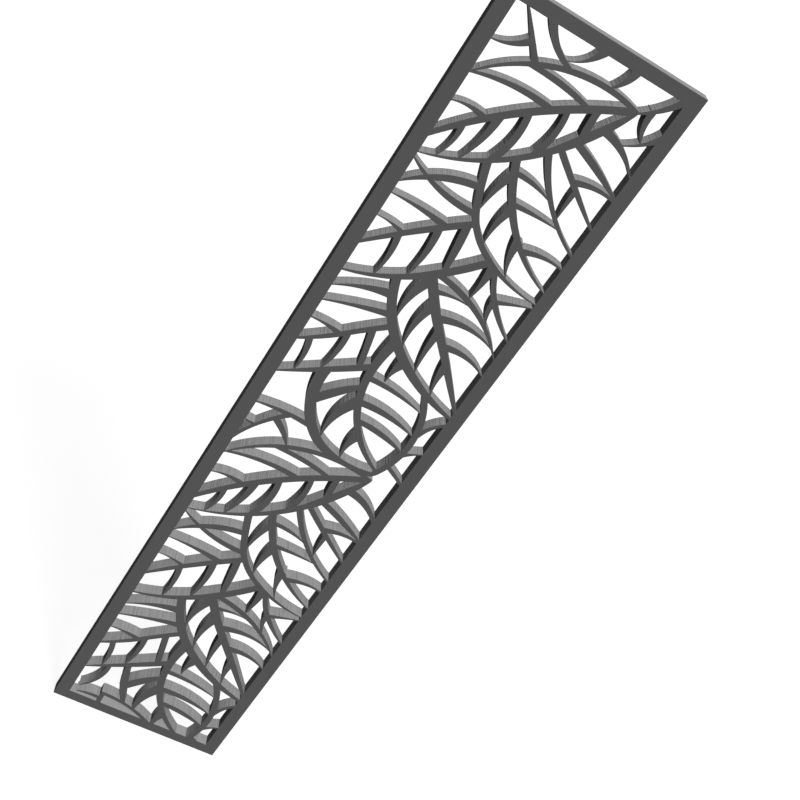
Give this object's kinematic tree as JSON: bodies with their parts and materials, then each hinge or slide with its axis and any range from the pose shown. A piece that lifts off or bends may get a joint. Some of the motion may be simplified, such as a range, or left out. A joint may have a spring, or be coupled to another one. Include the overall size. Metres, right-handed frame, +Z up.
{
  "type": "leaf lattice panel",
  "caption": "Tall flat openwork panel: a plain frame filled with flush overlapping leaves, with rims, ribs and veins as bars, for use as a screen, infill or divider.",
  "frame": {"origin": "middle of the panel's bottom edge, half way through its thickness", "axes": "+X across the panel to the right as seen from its front, +Y through it from front to back, +Z up"},
  "size_m": [0.4, 0.028, 1.86],
  "materials": {
    "grey_paint": "satin dark grey paint over fine-grained board",
    "bare_beech": "bare planed beech, hidden inside the joints"
  },
  "bodies": {
    "root": {"bottom_crescent": "grey_paint", "bottom_left_sprig": "grey_paint", "bottom_rail": "grey_paint", "corner_leaf": "grey_paint", "corner_tenons": "bare_beech", "leaf_tongues": "bare_beech", "left_stile": "grey_paint", "lower_broad_leaf": "grey_paint", "lower_crossed_veins": "grey_paint", "lower_great_leaf": "grey_paint", "lower_high_vein": "grey_paint", "lower_left_leaf": "grey_paint", "lower_long_leaf": "grey_paint", "lower_low_vein": "grey_paint", "lower_right_branch": "grey_paint", "lower_right_twig": "grey_paint", "lower_round_leaf": "grey_paint", "lower_side_leaf": "grey_paint", "lower_small_leaf": "grey_paint", "right_corner_vein": "grey_paint", "right_stile": "grey_paint", "top_left_sprig": "grey_paint", "top_left_vein": "grey_paint", "top_rail": "grey_paint", "top_right_sprig": "grey_paint", "top_right_vein": "grey_paint", "top_rim": "grey_paint", "upper_broad_leaf": "grey_paint", "upper_crossed_veins": "grey_paint", "upper_great_leaf": "grey_paint", "upper_high_vein": "grey_paint", "upper_left_leaf": "grey_paint", "upper_long_leaf": "grey_paint", "upper_low_vein": "grey_paint", "upper_right_branch": "grey_paint", "upper_right_twig": "grey_paint", "upper_round_leaf": "grey_paint", "upper_side_leaf": "grey_paint", "upper_small_leaf": "grey_paint"}
  },
  "joints": []
}
